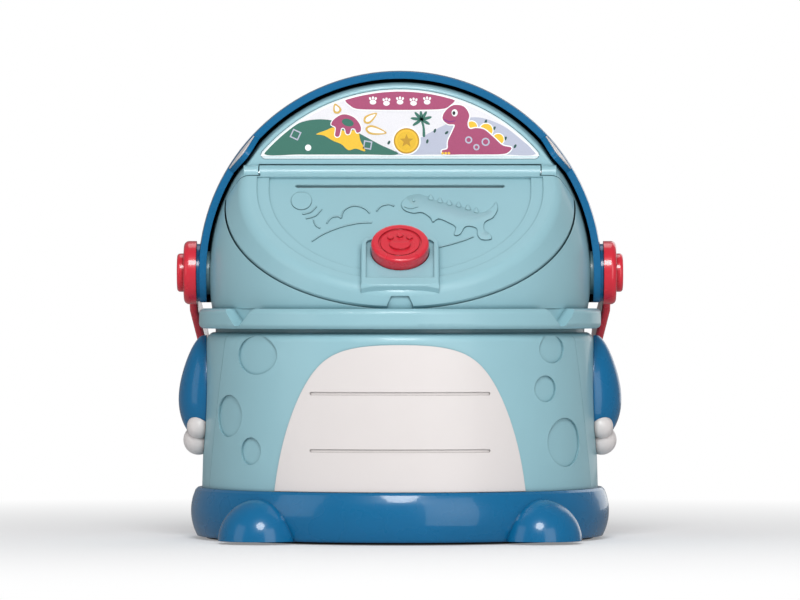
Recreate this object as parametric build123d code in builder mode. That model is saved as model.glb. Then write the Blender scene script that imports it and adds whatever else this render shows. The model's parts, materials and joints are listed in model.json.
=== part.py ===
"""Mechanical bank: a round money box with a lifting visor over a sloped face with a hinged door.

Frame: millimetres, +Z up, front towards -Y, origin on the floor under the centre of the body.
It stands as it is used to put money in: visor raised, door shut, carrying handle hanging behind.
"""
import os
from math import asin, cos, degrees, radians, sin

from build123d import *

# ---- driving dimensions -------------------------------------------------------------------------
WALL = 2.4                    # moulded shells of the base, body and head

PAD_HEIGHT = 1.2              # soft ring under the base
FOOT_RING_R = 80.6
BASE_TOP = 21.2
BASE_BOTTOM_R = 84.4
BASE_BULGE_R = 87.0
BASE_TOP_R = 85.2
BASE_BULGE_Z = 10.5           # height of the widest part
BASE_CHEEK_Z = 20.2           # where the bulged side meets the rounded top edge
FLOOR_PLATE = 2.2             # thickness of the base plate and of the deck of the base
DECK_HOLE_R = 62.0
FOOT_R = 17.0
FOOT_X = 57.0
FOOT_Y = -63.0

BODY_TOP = 85.8
BODY_TOP_R = 80.5
BODY_BOTTOM_R = 82.4
BODY_SHOULDER_R = 4.0         # rounding of the top edge of the body
SEAM_TOP_Y = -37.2            # parting plane of the two body shells, at the top and bottom edges
SEAM_BOTTOM_Y = -24.0
SEAM_GAP = 0.3
CRATER_DEPTH = 0.9

RING_BOTTOM = 87.2
RING_TOP = 95.5
RING_R = 83.7
RING_BORE_R = 75.6
SPIGOT_R = 77.9
NOTCH_WIDTH = 22.0
NOTCH_BOTTOM = 88.2
NOTCH_FLOOR_R = 77.8          # distance of the notch's flat back from the axis

HUB_HEIGHT = 110.4            # axis that the visor and the handle share, along X
HEAD_R = 79.6
FACE_TILT = 50.0              # elevation of the outward normal of the sloped face
FACE_DISTANCE = 45.5          # from the hub axis to the sloped face
FACE_ROUNDING = 5.0

BEAD_V = 12.0                 # hinge axis of the door, up the slope from the middle of the face
BEAD_DEPTH = 1.9              # hinge axis below the face
BEAD_R = 3.2
BEAD_HALF = 64.6
KNUCKLE_HALF = 58.2           # half length of the middle knuckle, which is the door's
HINGE_GAP = 0.5
PIN_R = 1.25
PIN_BORE_R = 1.3

DOOR_R = 72.0
DOOR_V = 3.0                  # centre of the door's round outline
DOOR_GAP = 0.6
D_HALF = 54.0                 # sunk D-shaped field of the door
D_TOP_V = 7.3
D_CENTRE_V = -0.3
D_STEP = 0.6                  # each of the two steps down to the field
D_MARGIN = 5.0
SLOT_LENGTH = 86.3
SLOT_WIDTH = 1.9
SLOT_V = 2.5

LABEL_FACE_Y = -18.4          # upright face above the door's hinge
LABEL_FACE_ROUNDING = 1.2
LABEL_R = 76.0                # picture label, a segment of a circle above the hinge
LABEL_LOW = HUB_HEIGHT + 46.8
LABEL_SINK = 0.45
LABEL_THICKNESS = 0.35

BUTTON_V = -42.5
BUTTON_R = 11.75
BUTTON_PROUD = 6.0
BUTTON_FLANGE_R = 12.8
BUTTON_FLANGE_TOP = -2.6
BUTTON_FLANGE_BOTTOM = -4.2
BUTTON_ROOF = 3.4             # underside of the button's top, above the face
NOTCH_LOW = 5.2               # finger notch in the door's lower edge: half widths and foot
NOTCH_HIGH = 3.6
NOTCH_Z = 97.0
PAD_WIDTH = 31.6              # raised escutcheon round the button
PAD_TOP_V = -34.0
PAD_BOTTOM_V = -65.0
PAD_PROUD = 2.0
CUP_BOTTOM = -13.0            # housing of the button, below the face
CUP_FLOOR = 1.4

BOLT_DEPTH = 17.0             # axis of the lock bolt below the face
BOLT_TIP_V = -65.5

VISOR_R = 83.5
VISOR_INNER_R = 81.3
VISOR_LIP_R = 84.2
VISOR_LIP_WIDTH = 4.5
VISOR_RIM = 12.4              # both rims lie this far past the hub axis
VISOR_RAISE = -90.0           # turn about +X from shut to raised
VISOR_BOSS_R = 12.0
VISOR_BOSS_FACE = 84.5
EYE_AZIMUTH = 56.5
EYE_ELEVATION = 27.2
EYE_R = 21.6
PUPIL_R = 17.3
PUPIL_RISE = 2.0
GLINT_R = 7.5
GLINT_OUT = 15.5
GLINT_UP = 2.0
EYE_SEAT_R = 82.9             # radii of the eye's layers from the hub's middle
EYE_FACE_R = 83.6
PUPIL_FACE_R = 83.9
TOOTH_AZIMUTH = 52.8
TOOTH_WIDTH = 17.0
TOOTH_DROP = 6.5
TOOTH_SEAT_R = 83.5           # the white tooth is a thin face on a backing of the visor's own plastic
TOOTH_FACE_R = 84.0
TOOTH_BACKING = 0.5           # the backing shows this much all round

# crest bumps: elevation over the front, distance of the centre from the hub's middle, radius
CREST = {
    "crest_front": (37.4, 88.4, 13.4),
    "crest_middle": (58.0, 83.4, 16.1),
    "crest_rear": (77.0, 81.9, 13.2),
}
CREST_WALL = 2.0

SHAFT_R = 5.0                 # pivot on each side, fixed in the head
SHAFT_BORE_R = 5.06
HEAD_BOSS_R = 9.0
HEAD_BOSS_FACE = 80.6
HANDLE_EYE_INNER = 84.65
HANDLE_EYE_OUTER = 89.95
HANDLE_EYE_R = 13.2
CAP_OUTER = 92.8
CAP_R = 8.0
HANDLE_HANG = 49.0            # how far the resting handle stands back from straight down
HANDLE_BEND = 40.0            # from the hub axis to where the arms start to curve
HANDLE_REACH = 126.0
HANDLE_GRIP = 8.0             # thickness of the cross-piece
HANDLE_ARM = 3.7              # thickness of the arms
HANDLE_WIDTH = 13.0

HUB = Vector(0, 0, HUB_HEIGHT)
FACE_NORMAL = Vector(0, -cos(radians(FACE_TILT)), sin(radians(FACE_TILT)))
FACE = Plane(origin=HUB + FACE_NORMAL * FACE_DISTANCE, x_dir=(1, 0, 0), z_dir=FACE_NORMAL)
HUB_AXIS = Axis(HUB, (1, 0, 0))
SIDES = {"left": -1, "right": 1}
STANDING = (Align.CENTER, Align.CENTER, Align.MIN)

os.makedirs("parts", exist_ok=True)


def save(name, builder):
    """Label a finished piece and write it under its node's name."""
    builder.part.label = name
    export_step(builder.part, f"parts/{name}.step")


def radial_plane(azimuth, radius, height):
    """Upright plane facing outwards, azimuth degrees from the front towards +X."""
    outward = Vector(sin(radians(azimuth)), -cos(radians(azimuth)), 0)
    across = Vector(cos(radians(azimuth)), sin(radians(azimuth)), 0)
    return Plane(origin=outward * radius + Vector(0, 0, height), x_dir=across, z_dir=outward)


def ring_section(inner, outer, low, high):
    """Rectangle in the half plane of a revolved piece."""
    with Locations(((inner + outer) / 2, (low + high) / 2)):
        Rectangle(outer - inner, high - low)


def sideways_cylinder(side, radius, start, end, mode=Mode.ADD):
    """Cylinder on the hub axis, between two distances from the middle."""
    with Locations(Plane(origin=HUB + Vector(side * start, 0, 0), z_dir=(side, 0, 0))):
        Cylinder(radius, end - start, align=STANDING, mode=mode)


# ---- base ---------------------------------------------------------------------------------------
FLOOR_TOP = PAD_HEIGHT + FLOOR_PLATE
DECK_BOTTOM = BASE_TOP - FLOOR_PLATE
SCREW_CIRCLE = 74.0
SCREW_R = 1.5
SCREW_HEAD_R = 3.0
SCREW_HEAD = 1.6
POST_R = 4.2
POST_RIB = 5.0                # posts of the body are this much longer across the wall
FEET = [(-FOOT_X, FOOT_Y), (FOOT_X, FOOT_Y)]
GRILLE_CENTRE = (20, 40)
TRAY_CENTRE = (0, -14)
TRAY_INNER = (57, 47)
COVER_SIZE = (60, 50)
SWITCH_CENTRE = (-48, 5)
BOARD_CENTRE = (-28, 38)
BOARD_SIZE = (34, 24)
BOARD_BOTTOM = 8.0
COVER_THICKNESS = 1.4
COVER_SCREW_R = 1.0
COVER_SCREW_SPOT = (TRAY_CENTRE[0], TRAY_CENTRE[1] + COVER_SIZE[1] / 2 - 1.6)

with BuildPart() as base_shell:
    with BuildSketch(Plane.XZ):
        with BuildLine():
            Line((0, PAD_HEIGHT), (BASE_BOTTOM_R, PAD_HEIGHT))
            ThreePointArc((BASE_BOTTOM_R, PAD_HEIGHT), (BASE_BULGE_R, BASE_BULGE_Z),
                          (BASE_TOP_R, BASE_CHEEK_Z))
            Line((BASE_TOP_R, BASE_CHEEK_Z), (BASE_TOP_R - 1, BASE_TOP))
            Polyline((BASE_TOP_R - 1, BASE_TOP), (0, BASE_TOP), (0, PAD_HEIGHT))
        make_face()
    revolve(axis=Axis.Z)
    with Locations(*[(x, y, PAD_HEIGHT) for x, y in FEET]):
        Sphere(FOOT_R)
    with BuildSketch(Plane.XZ):
        with BuildLine():
            Polyline((BASE_BOTTOM_R - WALL, PAD_HEIGHT), (0, PAD_HEIGHT), (0, DECK_BOTTOM),
                     (BASE_TOP_R - WALL, DECK_BOTTOM))
            ThreePointArc((BASE_TOP_R - WALL, DECK_BOTTOM), (BASE_BULGE_R - WALL, BASE_BULGE_Z),
                          (BASE_BOTTOM_R - WALL, PAD_HEIGHT))
        make_face()
    revolve(axis=Axis.Z, mode=Mode.SUBTRACT)
    split(bisect_by=Plane.XY.offset(PAD_HEIGHT), keep=Keep.TOP)
    with Locations(*[(x, y, PAD_HEIGHT) for x, y in FEET]):
        Sphere(FOOT_R - WALL, mode=Mode.SUBTRACT)
    # posts that the base plate is screwed to
    with BuildSketch(Plane.XY.offset(FLOOR_TOP)):
        with PolarLocations(SCREW_CIRCLE, 4):
            Circle(POST_R)
    extrude(amount=DECK_BOTTOM - FLOOR_TOP)
    with BuildSketch(Plane.XY.offset(FLOOR_TOP)):
        with PolarLocations(SCREW_CIRCLE, 4):
            Circle(SCREW_R)
    extrude(amount=12, mode=Mode.SUBTRACT)
    with BuildSketch(Plane.XY.offset(DECK_BOTTOM)):
        Circle(DECK_HOLE_R)
        with PolarLocations(SCREW_CIRCLE, 4, start_angle=45):
            Circle(SCREW_R)
    extrude(amount=FLOOR_PLATE, mode=Mode.SUBTRACT)
save("base_shell", base_shell)

with BuildPart() as base_plate:
    with BuildSketch(Plane.XY.offset(PAD_HEIGHT)):
        Circle(BASE_BOTTOM_R - WALL - 0.3)
        with PolarLocations(SCREW_CIRCLE, 4):
            Circle(SCREW_R, mode=Mode.SUBTRACT)
        with Locations(TRAY_CENTRE):
            Rectangle(COVER_SIZE[0] - 8, COVER_SIZE[1] - 6, mode=Mode.SUBTRACT)
        with Locations(SWITCH_CENTRE):
            Rectangle(4.8, 9, mode=Mode.SUBTRACT)
        with Locations(GRILLE_CENTRE):
            with PolarLocations(5, 6):
                Circle(1, mode=Mode.SUBTRACT)
            with PolarLocations(10, 12):
                Circle(1, mode=Mode.SUBTRACT)
    extrude(amount=FLOOR_PLATE)
    # counterbores for the screw heads, and the step that the battery cover lies in
    with BuildSketch(Plane.XY.offset(PAD_HEIGHT)):
        with PolarLocations(SCREW_CIRCLE, 4):
            Circle(SCREW_HEAD_R + 0.2)
        with Locations(TRAY_CENTRE):
            RectangleRounded(*COVER_SIZE, 3)
    extrude(amount=COVER_THICKNESS, mode=Mode.SUBTRACT)
    # battery tray and the posts of the circuit board
    with BuildSketch(Plane.XY.offset(FLOOR_TOP)):
        with Locations(TRAY_CENTRE):
            Rectangle(TRAY_INNER[0] + 3, TRAY_INNER[1] + 3)
            Rectangle(*TRAY_INNER, mode=Mode.SUBTRACT)
    extrude(amount=DECK_BOTTOM - FLOOR_TOP - 0.5)
    with BuildSketch(Plane.XY.offset(FLOOR_TOP)):
        with Locations(BOARD_CENTRE):
            with GridLocations(BOARD_SIZE[0] - 5, BOARD_SIZE[1] - 5, 2, 2):
                Circle(2)
    extrude(amount=BOARD_BOTTOM - FLOOR_TOP)
    # blind pilot hole for the battery cover's screw
    with BuildSketch(Plane.XY.offset(PAD_HEIGHT + COVER_THICKNESS)):
        with Locations(COVER_SCREW_SPOT):
            Circle(COVER_SCREW_R)
    extrude(amount=6, mode=Mode.SUBTRACT)
save("base_plate", base_plate)

with BuildPart() as rubber_foot_ring:
    with BuildSketch(Plane.XZ):
        ring_section(FOOT_RING_R - 3.2, FOOT_RING_R, 0, PAD_HEIGHT)
        chamfer(vertices().group_by(Axis.Y)[0], 0.3)
    revolve(axis=Axis.Z)
save("rubber_foot_ring", rubber_foot_ring)

with BuildPart() as base_screws:
    with BuildSketch(Plane.XY.offset(PAD_HEIGHT + 1.4 - 1.2)):
        with PolarLocations(SCREW_CIRCLE, 4):
            Circle(SCREW_HEAD_R)
    extrude(amount=1.2)
    with BuildSketch(Plane.XY.offset(PAD_HEIGHT + 1.4)):
        with PolarLocations(SCREW_CIRCLE, 4):
            Circle(SCREW_R)
    extrude(amount=10)
    with BuildSketch(Plane.XY.offset(PAD_HEIGHT + 0.2)):
        with PolarLocations(SCREW_CIRCLE, 4):
            Rectangle(3.6, 0.7)
            Rectangle(0.7, 3.6)
    extrude(amount=0.8, mode=Mode.SUBTRACT)
save("base_screws", base_screws)

with BuildPart() as battery_cover:
    with BuildSketch(Plane.XY.offset(PAD_HEIGHT)):
        with Locations(TRAY_CENTRE):
            RectangleRounded(COVER_SIZE[0] - 0.6, COVER_SIZE[1] - 0.6, 2.7)
        with Locations(COVER_SCREW_SPOT):
            Circle(COVER_SCREW_R, mode=Mode.SUBTRACT)
        with Locations((TRAY_CENTRE[0], TRAY_CENTRE[1] - 16)):
            SlotOverall(16, 3, mode=Mode.SUBTRACT)
    extrude(amount=COVER_THICKNESS)
save("battery_cover", battery_cover)

with BuildPart() as battery_cover_screw:
    with BuildSketch(Plane.XY.offset(PAD_HEIGHT - 0.8)):
        with Locations(COVER_SCREW_SPOT):
            Circle(2 * COVER_SCREW_R)
    extrude(amount=0.8)
    with BuildSketch(Plane.XY.offset(PAD_HEIGHT)):
        with Locations(COVER_SCREW_SPOT):
            Circle(COVER_SCREW_R)
    extrude(amount=6)
    with BuildSketch(Plane.XY.offset(PAD_HEIGHT - 0.8)):
        with Locations(COVER_SCREW_SPOT):
            Rectangle(2.6, 0.5)
    extrude(amount=0.4, mode=Mode.SUBTRACT)
save("battery_cover_screw", battery_cover_screw)

CELL_R = 7.25
CELL_LENGTH = 49.5
CELL_PITCH = 15.2
CELL_Z = 11.2
CELL_SPOTS = [(TRAY_CENTRE[1] + row, CELL_Z) for row in (-CELL_PITCH, 0, CELL_PITCH)]
CONTACT_SIZE = 10.0
CONTACT_THICKNESS = 0.5

with BuildPart() as battery_cells:
    with BuildSketch(Plane.YZ.offset(-CELL_LENGTH / 2)):
        with Locations(*CELL_SPOTS):
            Circle(CELL_R)
    extrude(amount=CELL_LENGTH)
    with BuildSketch(Plane.YZ.offset(CELL_LENGTH / 2)):
        with Locations(*CELL_SPOTS):
            Circle(2.6)
    extrude(amount=1)
save("battery_cells", battery_cells)

with BuildPart() as battery_contacts:
    for side in SIDES.values():
        with BuildSketch(Plane.YZ.offset(side * TRAY_INNER[0] / 2)):
            with Locations(*CELL_SPOTS):
                RectangleRounded(CONTACT_SIZE, CONTACT_SIZE, 1)
        extrude(amount=-side * CONTACT_THICKNESS)
    with BuildSketch(Plane.YZ.offset(CELL_LENGTH / 2 + 1)):
        with Locations(*CELL_SPOTS):
            Circle(2)
    extrude(until=Until.NEXT)
    with BuildSketch(Plane.YZ.offset(-CELL_LENGTH / 2)):
        with Locations(*CELL_SPOTS):
            Circle(3)
    extrude(amount=-(TRAY_INNER[0] - CELL_LENGTH) / 2 + 0.4)
save("battery_contacts", battery_contacts)

with BuildPart() as speaker:
    with BuildSketch(Plane.XY.offset(FLOOR_TOP)):
        with Locations(GRILLE_CENTRE):
            Circle(18)
            Circle(13, mode=Mode.SUBTRACT)
    extrude(amount=1.5)
    with BuildSketch(Plane.XY.offset(FLOOR_TOP + 1.5)):
        with Locations(GRILLE_CENTRE):
            Circle(18)
    extrude(amount=5, taper=35)
    with BuildSketch(Plane.XY.offset(FLOOR_TOP + 6.5)):
        with Locations(GRILLE_CENTRE):
            Circle(9)
    extrude(amount=5)
save("speaker", speaker)

with BuildPart() as circuit_board:
    with BuildSketch(Plane.XY.offset(BOARD_BOTTOM)):
        with Locations(BOARD_CENTRE):
            Rectangle(*BOARD_SIZE)
    extrude(amount=1.6)
    with BuildSketch(Plane.XY.offset(BOARD_BOTTOM + 1.6)):
        with Locations((BOARD_CENTRE[0] - 5, BOARD_CENTRE[1])):
            Rectangle(9, 9)
        with Locations((BOARD_CENTRE[0] + 10, BOARD_CENTRE[1])):
            Circle(3.5)
        with Locations((BOARD_CENTRE[0] - 13, BOARD_CENTRE[1])):
            Rectangle(4, 12)
    extrude(amount=2.5)
save("circuit_board", circuit_board)

with BuildPart() as switch_case:
    with BuildSketch(Plane.XY.offset(FLOOR_TOP)):
        with Locations(SWITCH_CENTRE):
            Rectangle(8, 14)
            Rectangle(4.8, 9, mode=Mode.SUBTRACT)
    extrude(amount=4)
    with BuildSketch(Plane.XY.offset(FLOOR_TOP + 4)):
        with Locations(SWITCH_CENTRE):
            Rectangle(8, 14)
    extrude(amount=2)
save("switch_case", switch_case)

SWITCH_TRAVEL = 4.0
with BuildPart() as power_switch:
    with BuildSketch(Plane.XY.offset(PAD_HEIGHT + 0.3)):
        with Locations((SWITCH_CENTRE[0], SWITCH_CENTRE[1] - SWITCH_TRAVEL / 2)):
            Rectangle(4.2, 4.4)
    extrude(amount=FLOOR_PLATE + 3.2)
    with BuildSketch(Plane.XY.offset(PAD_HEIGHT + 0.3)):
        with Locations((SWITCH_CENTRE[0], SWITCH_CENTRE[1] - SWITCH_TRAVEL / 2)):
            with GridLocations(0, 1.4, 1, 3):
                Rectangle(4.2, 0.5)
    extrude(amount=0.4, mode=Mode.SUBTRACT)
save("power_switch", power_switch)

with BuildPart() as money_floor:
    with BuildSketch(Plane.XY.offset(BASE_TOP)):
        Circle(BODY_BOTTOM_R - WALL - 0.6)
        with PolarLocations(SCREW_CIRCLE, 4, start_angle=45):
            SlotOverall(2 * POST_R + POST_RIB + 0.8, 2 * POST_R + 0.8, mode=Mode.SUBTRACT)
    extrude(amount=FLOOR_PLATE)
save("money_floor", money_floor)

# ---- body ---------------------------------------------------------------------------------------
BODY_SLOPE = (BODY_BOTTOM_R - BODY_TOP_R) / (BODY_TOP - BASE_TOP)


def body_radius(height):
    """Outer radius of the body, which widens a little downwards."""
    return BODY_TOP_R + (BODY_TOP - height) * BODY_SLOPE


def body_form(shrink, bottom=BASE_TOP, top=BODY_TOP):
    """Solid of the body's shape, shrunk (or grown) all round."""
    with BuildPart() as form:
        with BuildSketch(Plane.XZ):
            with BuildLine():
                Polyline((0, bottom), (body_radius(bottom) - shrink, bottom),
                         (body_radius(top) - shrink, top), (0, top), close=True)
            make_face()
        revolve(axis=Axis.Z)
    return form.part


# craters: distance across the front, height, half width and half height
CRATERS = [
    (-58.7, 76.5, 11.7, 7.9),
    (-70.3, 51.5, 10.0, 8.6),
    (-61.0, 37.4, 6.1, 5.6),
    (62.2, 79.0, 8.0, 5.8),
    (59.4, 62.8, 6.5, 5.4),
    (67.7, 40.8, 11.9, 10.0),
]

with BuildPart() as crater_cutters:
    for across, height, half_width, half_height in CRATERS:
        radius = body_radius(height)
        azimuth = degrees(asin(across / radius))
        with BuildSketch(radial_plane(azimuth, radius, height)):
            Ellipse(half_width, half_height)
        extrude(amount=5, both=True)
    add(body_form(CRATER_DEPTH, BASE_TOP - 5, BODY_TOP + 5), mode=Mode.SUBTRACT)

with BuildPart() as body_shell:
    add(body_form(0))
    top_edge = body_shell.edges().filter_by(GeomType.CIRCLE).group_by(Axis.Z)[-1]
    fillet(top_edge, BODY_SHOULDER_R)
    add(body_form(WALL, BASE_TOP - 1, BODY_TOP + 1), mode=Mode.SUBTRACT)
    # four posts take the screws that come up through the deck of the base
    with BuildSketch(Plane.XY.offset(BASE_TOP)):
        with PolarLocations(SCREW_CIRCLE, 4, start_angle=45):
            SlotOverall(2 * POST_R + POST_RIB, 2 * POST_R)
        Circle(body_radius(BASE_TOP) - 1, mode=Mode.INTERSECT)
    extrude(amount=16)
    with BuildSketch(Plane.XY.offset(BASE_TOP)):
        with PolarLocations(SCREW_CIRCLE, 4, start_angle=45):
            Circle(SCREW_R)
    extrude(amount=13, mode=Mode.SUBTRACT)
    add(crater_cutters.part, mode=Mode.SUBTRACT)

SEAM_DIRECTION = Vector(0, SEAM_BOTTOM_Y - SEAM_TOP_Y, BASE_TOP - BODY_TOP)
SEAM = Plane(origin=(0, SEAM_TOP_Y, BODY_TOP), x_dir=(1, 0, 0), z_dir=SEAM_DIRECTION.cross(Vector(1, 0, 0)))

with BuildPart() as body_front_shell:
    add(body_shell.part)
    split(bisect_by=SEAM.offset(SEAM_GAP / 2), keep=Keep.TOP)
save("body_front_shell", body_front_shell)

with BuildPart() as body_rear_shell:
    add(body_shell.part)
    split(bisect_by=SEAM.offset(-SEAM_GAP / 2), keep=Keep.BOTTOM)
save("body_rear_shell", body_rear_shell)

with BuildPart() as body_screws:
    with BuildSketch(Plane.XY.offset(DECK_BOTTOM - SCREW_HEAD)):
        with PolarLocations(SCREW_CIRCLE, 4, start_angle=45):
            Circle(SCREW_HEAD_R)
    extrude(amount=SCREW_HEAD)
    with BuildSketch(Plane.XY.offset(DECK_BOTTOM)):
        with PolarLocations(SCREW_CIRCLE, 4, start_angle=45):
            Circle(SCREW_R)
    extrude(amount=12)
save("body_screws", body_screws)

BELLY_PROUD = 0.8
BELLY_BOTTOM_HALF = 51.0
BELLY_BOTTOM = BASE_TOP + 0.2
BELLY_TOP = 80.8
GROOVE_HALF = 36.5
GROOVE_HEIGHTS = (61.1, 38.0)

with BuildPart() as belly_grooves:
    with BuildSketch(Plane.XZ.offset(40)):
        with Locations(*[(0, height) for height in GROOVE_HEIGHTS]):
            SlotOverall(2 * GROOVE_HALF, 1.3)
    extrude(amount=60)
    add(body_form(0.5 - BELLY_PROUD, BASE_TOP - 1, BODY_TOP + 1), mode=Mode.SUBTRACT)

with BuildPart() as belly_panel:
    with BuildSketch(Plane.XZ):
        with BuildLine():
            right_edge = Spline((BELLY_BOTTOM_HALF, BELLY_BOTTOM), (45.5, 47.9), (34.8, 70.1), (0, BELLY_TOP),
                                tangents=((-0.12, 1), (-1, 0)))
            mirror(right_edge, about=Plane.YZ)
            Line((-BELLY_BOTTOM_HALF, BELLY_BOTTOM), (BELLY_BOTTOM_HALF, BELLY_BOTTOM))
        make_face()
    extrude(amount=100)
    add(body_form(-BELLY_PROUD, BASE_TOP - 1, BODY_TOP + 1), mode=Mode.INTERSECT)
    add(body_form(0, BASE_TOP - 1, BODY_TOP + 1), mode=Mode.SUBTRACT)
    add(belly_grooves.part, mode=Mode.SUBTRACT)
save("belly_panel", belly_panel)

# ---- arms and claws -----------------------------------------------------------------------------
# sections of the right arm from shoulder to tip: height, half thickness, half width
ARM_X = 80.0
ARM_SECTIONS = [(84.4, 2.6, 3.0), (77.0, 7.7, 8.7), (68.0, 10.8, 12.3), (56.5, 12.2, 14.0),
                (48.0, 10.4, 12.6), (43.0, 7.0, 8.6)]
BALL = Vector(83.4, -9.0, 46.5)
BALL_R = 5.1
CLAW = Vector(83.8, -4.0, 40.9)
CLAW_R = 6.3

for side_name, side in SIDES.items():
    with BuildPart() as claws:
        with Locations((side * BALL.X, BALL.Y, BALL.Z)):
            Sphere(BALL_R)
        with Locations((side * CLAW.X, CLAW.Y, CLAW.Z)):
            Sphere(CLAW_R)
        add(body_form(0, BASE_TOP, BODY_TOP), mode=Mode.SUBTRACT)

    with BuildPart() as arm:
        for height, half_thickness, half_width in ARM_SECTIONS:
            with BuildSketch(Plane.XY.offset(height)):
                with Locations((side * ARM_X, 0)):
                    Ellipse(half_thickness, half_width)
        loft()
        fillet(arm.faces().sort_by(Axis.Z)[0].edges(), 2.5)
        fillet(arm.faces().sort_by(Axis.Z)[-1].edges(), 1.5)
        add(body_form(0, BASE_TOP, BODY_TOP), mode=Mode.SUBTRACT)
        add(claws.part, mode=Mode.SUBTRACT)
    save(f"{side_name}_arm", arm)
    save(f"{side_name}_claws", claws)

# ---- neck ring ----------------------------------------------------------------------------------
with BuildPart() as neck_ring:
    with BuildSketch(Plane.XZ):
        ring_section(RING_BORE_R, RING_R, RING_BOTTOM, RING_TOP)
        fillet(vertices().group_by(Axis.X)[-1], 2.2)
        ring_section(RING_BORE_R, SPIGOT_R, RING_BOTTOM - 3.2, RING_BOTTOM - 1.6)
        ring_section(RING_BORE_R, SPIGOT_R - 1.1, RING_BOTTOM - 1.6, RING_BOTTOM)
    revolve(axis=Axis.Z)
    # the two V notches that the teeth drop into
    for side in SIDES.values():
        with BuildSketch(radial_plane(side * TOOTH_AZIMUTH, NOTCH_FLOOR_R, 0)):
            with BuildLine():
                Polyline((-NOTCH_WIDTH / 2, RING_TOP + 1), (-1.6, NOTCH_BOTTOM), (1.6, NOTCH_BOTTOM),
                         (NOTCH_WIDTH / 2, RING_TOP + 1), close=True)
            make_face()
            fillet(vertices().group_by(Axis.Y)[0], 1.5)
        extrude(amount=12, mode=Mode.SUBTRACT)
save("neck_ring", neck_ring)

# ---- head ---------------------------------------------------------------------------------------
def head_form(shrink, rounding, bottom=RING_TOP):
    """Dome with the sloped face and the upright face above it, shrunk all round."""
    with BuildPart() as rear:
        with Locations(HUB):
            Sphere(HEAD_R - shrink)
        split(bisect_by=Plane.XY.offset(bottom), keep=Keep.TOP)
        split(bisect_by=Plane.XZ.offset(-LABEL_FACE_Y - shrink), keep=Keep.BOTTOM)
        if not shrink:
            upright = rear.faces().filter_by(GeomType.PLANE).sort_by(Axis.Y)[0]
            fillet(upright.edges().filter_by(GeomType.CIRCLE), LABEL_FACE_ROUNDING)
    with BuildPart() as form:
        with Locations(HUB):
            Sphere(HEAD_R - shrink)
        split(bisect_by=Plane.XY.offset(bottom), keep=Keep.TOP)
        split(bisect_by=FACE.offset(-shrink), keep=Keep.BOTTOM)
        face = form.faces().filter_by(GeomType.PLANE).sort_by(Axis(HUB, FACE_NORMAL))[-1]
        fillet(face.edges(), rounding)
        add(rear.part)
    return form.part


BEAD = FACE.offset(-BEAD_DEPTH)
BEAD_CENTRE = BEAD.from_local_coords((0, BEAD_V, 0))


def bead_cylinder(radius, start, end, mode=Mode.ADD):
    """Cylinder along the door's hinge axis, between two distances from the middle."""
    with Locations(Plane(origin=BEAD_CENTRE + Vector(min(start, end), 0, 0), z_dir=(1, 0, 0))):
        Cylinder(radius, abs(end - start), align=STANDING, mode=mode)


def door_outline(gap):
    """Door region on the sloped face: round below, cut off at the hinge, narrower between the knuckles."""
    with Locations((0, DOOR_V)):
        Circle(DOOR_R + gap)
    low_edge = BEAD_V - BEAD_R - HINGE_GAP - 0.5 + gap
    with Locations((0, low_edge + 50)):
        Rectangle(200, 100, mode=Mode.SUBTRACT)
    with Locations((0, (BEAD_V + low_edge - 4) / 2)):
        Rectangle(2 * (KNUCKLE_HALF - 0.5 + gap), BEAD_V - low_edge + 4)


with BuildPart() as head_wall:
    add(head_form(0, FACE_ROUNDING))
    add(head_form(WALL, FACE_ROUNDING - WALL, RING_TOP - 2), mode=Mode.SUBTRACT)

with BuildPart() as head_shell:
    add(head_wall.part)
    # bosses that hold the pivots of the visor and the handle
    for side in SIDES.values():
        sideways_cylinder(side, HEAD_BOSS_R, 70, HEAD_BOSS_FACE)
    # opening for the door, and the scoop round its bead
    with BuildSketch(FACE.offset(-40)):
        door_outline(DOOR_GAP)
    extrude(amount=50, mode=Mode.SUBTRACT)
    bead_cylinder(BEAD_R + HINGE_GAP, -KNUCKLE_HALF - 0.2, KNUCKLE_HALF + 0.2, mode=Mode.SUBTRACT)
    # end knuckles
    for side in SIDES.values():
        bead_cylinder(BEAD_R, side * (KNUCKLE_HALF + 0.3), side * BEAD_HALF)
    bead_cylinder(PIN_R, -BEAD_HALF + 1.5, BEAD_HALF - 1.5, mode=Mode.SUBTRACT)
    for side in SIDES.values():
        sideways_cylinder(side, SHAFT_R, 60, 90, mode=Mode.SUBTRACT)
    # shallow tray for the picture label
    with BuildSketch(Plane.XZ.offset(-LABEL_FACE_Y - LABEL_SINK)):
        with Locations((0, HUB_HEIGHT)):
            Circle(LABEL_R)
        with Locations((0, LABEL_LOW - 100)):
            Rectangle(200, 200, mode=Mode.SUBTRACT)
        fillet(vertices(), 2)
    extrude(amount=5, mode=Mode.SUBTRACT)
save("head_shell", head_shell)

with BuildPart() as face_label:
    with BuildSketch(Plane.XZ.offset(-LABEL_FACE_Y - LABEL_SINK)):
        with Locations((0, HUB_HEIGHT)):
            Circle(LABEL_R - 0.2)
        with Locations((0, LABEL_LOW + 0.2 - 100)):
            Rectangle(200, 200, mode=Mode.SUBTRACT)
        fillet(vertices(), 1.8)
    extrude(amount=LABEL_THICKNESS)
save("face_label", face_label)

with BuildPart() as door_hinge_pin:
    bead_cylinder(PIN_R, -BEAD_HALF + 1.5, BEAD_HALF - 1.5)
save("door_hinge_pin", door_hinge_pin)

# ---- door and what it carries -------------------------------------------------------------------
def d_field(margin):
    """The D of the door's sunk field, grown by a margin."""
    with Locations((0, D_CENTRE_V)):
        Circle(D_HALF + margin)
    with Locations((0, 60 + D_CENTRE_V)):
        Rectangle(200, 120, mode=Mode.SUBTRACT)
    with Locations((0, (D_TOP_V + D_CENTRE_V) / 2)):
        Rectangle(2 * (D_HALF + margin), D_TOP_V - D_CENTRE_V)


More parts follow.
